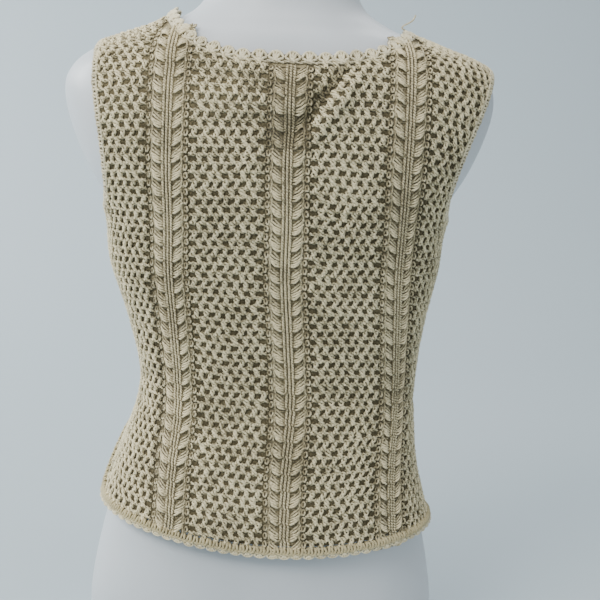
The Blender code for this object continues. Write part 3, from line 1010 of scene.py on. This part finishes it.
def make_ground(name, panel, stands_for):
    """The thin cloth behind the stitches, cut to the panel's edges; its dark colour is painted
    shade seen through the holes.
    """
    across, up = round(GROUND_WIDE / GROUND_STEP), round(GROUND_HIGH / GROUND_STEP)
    bm = bmesh.new()
    bmesh.ops.create_grid(bm, x_segments=across, y_segments=up, size=1.0)
    bm.verts.ensure_lookup_table()
    flat = np.array([vert.co[:] for vert in bm.verts])
    flat = np.stack([flat[:, 0] * GROUND_WIDE / 2, flat[:, 1] * GROUND_HIGH / 2 + GROUND_UP,
                     flat[:, 2]], axis=1)
    for _ in range(3):
        gap = panel.read(panel.inside, flat[:, 0], flat[:, 1])
        right = panel.read(panel.inside, flat[:, 0] + 0.001, flat[:, 1])
        above = panel.read(panel.inside, flat[:, 0], flat[:, 1] + 0.001)
        slope = np.stack([right - gap, above - gap], axis=1) / 0.001
        slope /= np.maximum(np.linalg.norm(slope, axis=1), 0.3)[:, None] ** 2
        near = (gap < 0) & (gap > -0.0058)
        flat[near, :2] -= slope[near] * gap[near, None]
    gap = panel.read(panel.inside, flat[:, 0], flat[:, 1])
    outside = [face for face in bm.faces if min(gap[vert.index] for vert in face.verts) < -0.0008]
    kept = panel.lay(flat - np.array([0, 0, GROUND_BEHIND]))
    for vert, place in zip(bm.verts, kept):
        vert.co = place
    lengths = bm.loops.layers.uv.new("lengths")
    for face in bm.faces:
        for loop in face.loops:
            loop[lengths].uv = flat[loop.vert.index, :2]
    tone = bm.verts.layers.float.new("tone")
    sag = 0.0 if panel.front else 0.30
    way = -1 if panel.front else 1
    for vert in bm.verts:
        # the cloth's painted shade is lighter under the ribs, and where the back sags below its
        # neckline
        u, v = flat[vert.index, :2]
        off = min(abs(u - way * rib_middle(v) - shift) for shift in (-RIB_APART, 0, RIB_APART))
        vert[tone] = 0.45 * float(smooth_step((RIB / 2 - 0.002 - off) / 0.004)) - 0.14
        vert[tone] += sag * float(smooth_step((v - 0.165) / 0.03) * smooth_step((0.035 - u) / 0.03))
    bmesh.ops.delete(bm, geom=outside, context="FACES")
    made = add_piece(name, mesh_from(bm, name), SHADED_UNDERLAY_LOOK, stands_for)
    wall = made.modifiers.new("wall", "SOLIDIFY")
    wall.thickness = GROUND_WALL
    wall.offset = 0.0
    return made


def make_core(name, run, across, out, radius_across, radius_out, look, stands_for=()):
    """A smooth core under an edging, drawn along its line."""
    sides = 10
    count = round(run.whole / 0.004)
    bm = bmesh.new()
    bmesh.ops.create_grid(bm, x_segments=count, y_segments=sides, size=1.0)
    flat = np.array([vert.co[:] for vert in bm.verts])
    turn = flat[:, 1] * math.pi
    flat = np.stack([(flat[:, 0] + 1) / 2 * run.whole * 0.99999,
                     across - radius_across * np.cos(turn),
                     out + radius_out * np.sin(turn)], axis=1)
    for vert, place in zip(bm.verts, run.lay(flat)):
        vert.co = place
    bmesh.ops.remove_doubles(bm, verts=bm.verts, dist=SAME_POINT)
    bmesh.ops.recalc_face_normals(bm, faces=bm.faces)
    return add_piece(name, mesh_from(bm, name), look, stands_for)


def along_run(run, width, kinds, seed, out=0.0, across=0.0, tones=(0.1, 0.5)):
    """One stitch after another along an edge."""
    luck = random.Random(seed)
    count = max(round(run.whole / width), 1)
    pitch = run.whole / count
    stitches = []
    for index in range(count):
        stitches.append((luck.choice(kinds), (index + 0.5) * pitch, across, out,
                         luck.uniform(-0.05, 0.05), pitch / width, about(1, 0.07),
                         luck.uniform(*tones)))
    return stitches


def make_form():
    """The form: one ring raised level by level to its sections, closed at both ends."""
    around, levels = 96, 110
    bm = bmesh.new()
    bmesh.ops.create_grid(bm, x_segments=around, y_segments=levels, size=1.0)
    for vert in bm.verts:
        turn, level = vert.co.x * math.pi, (vert.co.y + 1) / 2
        section = smooth_row(FORM_SECTIONS, level * (len(FORM_SECTIONS) - 1))
        vert.co = outline(section, turn)
    bmesh.ops.remove_doubles(bm, verts=bm.verts, dist=SAME_POINT)
    open_edges = [edge for edge in bm.edges if edge.is_boundary]
    bmesh.ops.holes_fill(bm, edges=open_edges, sides=0)
    bmesh.ops.recalc_face_normals(bm, faces=bm.faces)
    mesh = mesh_from(bm, "form")
    mesh.set_sharp_from_angle(angle=math.radians(50))
    return add_piece("form", mesh, FORM_LOOK, ("dress_form",))


make_form()
for panel, side_name, seed in ((BACK, "back", 11), (FRONT, "front", 23)):
    mesh_rows, rib_rows = rows_of_stitches(panel, seed)
    halves = (
        ("left", [one for one in mesh_rows if (one[1] < 0) != panel.front]),
        ("right", [one for one in mesh_rows if (one[1] < 0) == panel.front]),
    )
    pieces = [add_stitches(f"{side_name}_mesh_{half_name}", half, panel.lay, YARN_LOOK)
              for half_name, half in halves]
    pieces.append(add_stitches(f"{side_name}_ribs", rib_rows, panel.lay, RIB_LOOK))

seams = (("left_side", SIDES[-1]), ("right_side", SIDES[1]),
         ("left_shoulder", SHOULDERS[-1]), ("right_shoulder", SHOULDERS[1]))
for index, (label, run) in enumerate(seams):
    stitches = along_run(run, SMALL_STITCH, SEAMS, 31 + index)
    add_stitches(f"{label}_seam", stitches, run.lay, YARN_LOOK)

for side, label in ((-1, "left"), (1, "right")):
    run = SHOULDERS[side]
    make_core(f"{label}_shoulder_tape", run, 0.0, -0.0004, 0.0085, 0.0004,
                                    SHADED_UNDERLAY_LOOK)
    stitches = []
    for row, across in enumerate((-0.0050, 0.0050)):
        stitches += along_run(run, SMALL_STITCH, SEAMS, 35 + 2 * row + side, out=-0.0002,
                              across=across, tones=(0.0, 0.3))
    add_stitches(f"{label}_shoulder_rows", stitches, run.lay, YARN_LOOK)

make_core("neck_band", NECK, (NECK_BAND + BAND_GAP) / 2, 0.0, 0.0034, 0.0008,
          SHADED_UNDERLAY_LOOK, ("neck_edging",))
add_stitches("neck_shells", along_run(NECK, SHELL, SHELLS, 41), NECK.lay, EDGE_LOOK)
for side, label in ((-1, "left"), (1, "right")):
    run = ARMHOLES[side]
    make_core(f"{label}_armhole_band", run, (ARM_BAND + BAND_GAP) / 2, 0.0, 0.0018, 0.0008,
              SHADED_UNDERLAY_LOOK, (f"{label}_armhole_edging",))
    stitches = along_run(run, SMALL_STITCH, CHAINS, 50 + side)
    add_stitches(f"{label}_armhole_stitches", stitches, run.lay, EDGE_LOOK)
make_core("hem_core", HEM, HEM_ROLL + BAND_GAP, 0.0, HEM_ROLL - 0.0016, HEM_ROLL - 0.0016,
          SHADED_UNDERLAY_LOOK, ("hem_roll",))
add_stitches("hem_stitches", along_run(HEM, WRAP, ROLLS, 61), HEM.lay, HEM_SHADED_LOOK)
SCALLOP_WIDE, SCALLOP_HIGH = 0.74, 0.42     # of a neck shell's size
scallops = []
for one in along_run(HEM, SHELL * SCALLOP_WIDE, SHELLS, 67, out=0.0012, across=0.0066,
                     tones=(0.0, 0.5)):
    scallops.append((*one[:5], one[5] * SCALLOP_WIDE, one[6] * SCALLOP_HIGH, one[7]))
add_stitches("hem_scallops", scallops, HEM.lay, EDGE_LOOK)
back_ground = make_ground("back_cloth", BACK, ("back_panel",))
front_ground = make_ground("front_cloth", FRONT, ("front_panel",))


def loose_end():
    """The yarn's fastened-off end, which stands up from the neck edging's right corner."""
    corner = int(np.argmax(NECK.points[:, 0]))
    foot = NECK.points[corner] + NECK.across[corner] * 0.006
    curve = bpy.data.curves.new("loose_end", "CURVE")
    curve.dimensions = "3D"
    curve.bevel_depth = 0.00075
    curve.bevel_resolution = 2
    curve.use_fill_caps = True
    spline = curve.splines.new("NURBS")
    knots = ((0, 0, 0), (-0.001, -0.002, 0.003), (-0.009, -0.003, 0.005), (-0.003, -0.004, 0.009),
             (0.004, -0.004, 0.012), (0.005, -0.003, 0.017))
    spline.points.add(len(knots) - 1)
    spline.use_endpoint_u = True
    for knot, place in zip(spline.points, knots):
        knot.co = (*(foot + np.array(place)), 1)
    rolled = bpy.data.objects.new("loose_end_rolled", curve)
    bpy.context.scene.collection.objects.link(rolled)
    mesh = finished_mesh(rolled)
    mesh.shade_smooth()
    tone = mesh.attributes.new("tone", "FLOAT", "POINT")
    tone.data.foreach_set("value", np.full(len(mesh.vertices), 0.7))
    return add_piece("loose_end", mesh, EDGE_LOOK)


loose_end()
for spare in list(workshop.objects):
    bpy.data.objects.remove(spare)
bpy.data.collections.remove(workshop)
bpy.data.node_groups.remove(STITCHING)


# ---------------------------------------------------------------- studio
def make_sweep():
    """A pale backdrop: a floor that curves up into a wall behind the form."""
    half_width, depth, front_edge, bend_start = 4.0, 9.0, 4.0, 1.2
    bend_length = 1.57
    bm = bmesh.new()
    bmesh.ops.create_grid(bm, x_segments=24, y_segments=60, size=1.0)
    for vert in bm.verts:
        x = vert.co.x * half_width
        along = (vert.co.y + 1) / 2 * depth - front_edge
        bend = min(max((along - bend_start) / bend_length, 0), 1)
        angle = bend * math.pi / 2
        y = min(along, bend_start) + math.sin(angle)
        z = 1 - math.cos(angle) + max(along - bend_start - bend_length, 0)
        vert.co = (x, y, z)
    bmesh.ops.recalc_face_normals(bm, faces=bm.faces)
    mesh = mesh_from(bm, "sweep")
    look, tree, shader = new_look("pale_sweep")
    feed(tree, shader, {"Base Color": (0.42, 0.49, 0.525, 1), "Roughness": 0.9})
    mesh.materials.append(look)
    made = bpy.data.objects.new("sweep", mesh)
    bpy.context.scene.collection.objects.link(made)


def add_light(name, place, target, size, power, colour):
    data = bpy.data.lights.new(name, "AREA")
    data.shape = "RECTANGLE"
    data.size, data.size_y = size
    data.energy = power
    data.color = colour
    made = bpy.data.objects.new(name, data)
    made.location = place
    made.rotation_euler = (Vector(target) - Vector(place)).to_track_quat("-Z", "Y").to_euler()
    bpy.context.scene.collection.objects.link(made)


make_sweep()
add_light("key", (-1.3, -1.6, 1.9), (0, 0, 0.35), (1.2, 1.2), 48, (1.0, 0.985, 0.95))
add_light("top", (-0.2, -0.5, 2.6), (0, 0, 0.5), (1.4, 1.4), 24, (1.0, 0.99, 0.98))
add_light("fill", (1.8, -1.5, 0.9), (0, 0, 0.3), (1.8, 1.8), 11, (0.95, 0.98, 1.0))
add_light("rim", (0.3, 1.5, 2.0), (0, 0, 0.4), (1.5, 1.0), 16, (0.97, 0.99, 1.0))
add_light("sweep_light", (-3.0, 0.9, 1.8), (-1.2, 2.4, 0.6), (1.4, 1.4), 170, (0.97, 0.99, 1.0))
world = bpy.data.worlds.new("studio")
world.use_nodes = True
feed(world.node_tree, world.node_tree.nodes["Background"],
     {"Color": (0.86, 0.93, 1.0, 1), "Strength": 0.38})
bpy.context.scene.world = world

lens = bpy.data.cameras.new("camera")
lens.sensor_width = 36.0
lens.lens = 76.7
camera = bpy.data.objects.new("camera", lens)
eye, aim = Vector((0.0255, -1.15, 0.50)), Vector((0.0255, 0.0, 0.3125))
look = (aim - eye).to_track_quat("-Z", "Y").to_matrix().to_4x4()
camera.matrix_world = Matrix.Translation(eye) @ look @ Matrix.Rotation(math.radians(2.4), 4, "Z")
bpy.context.scene.collection.objects.link(camera)
bpy.context.scene.camera = camera

bpy.context.view_layer.update()
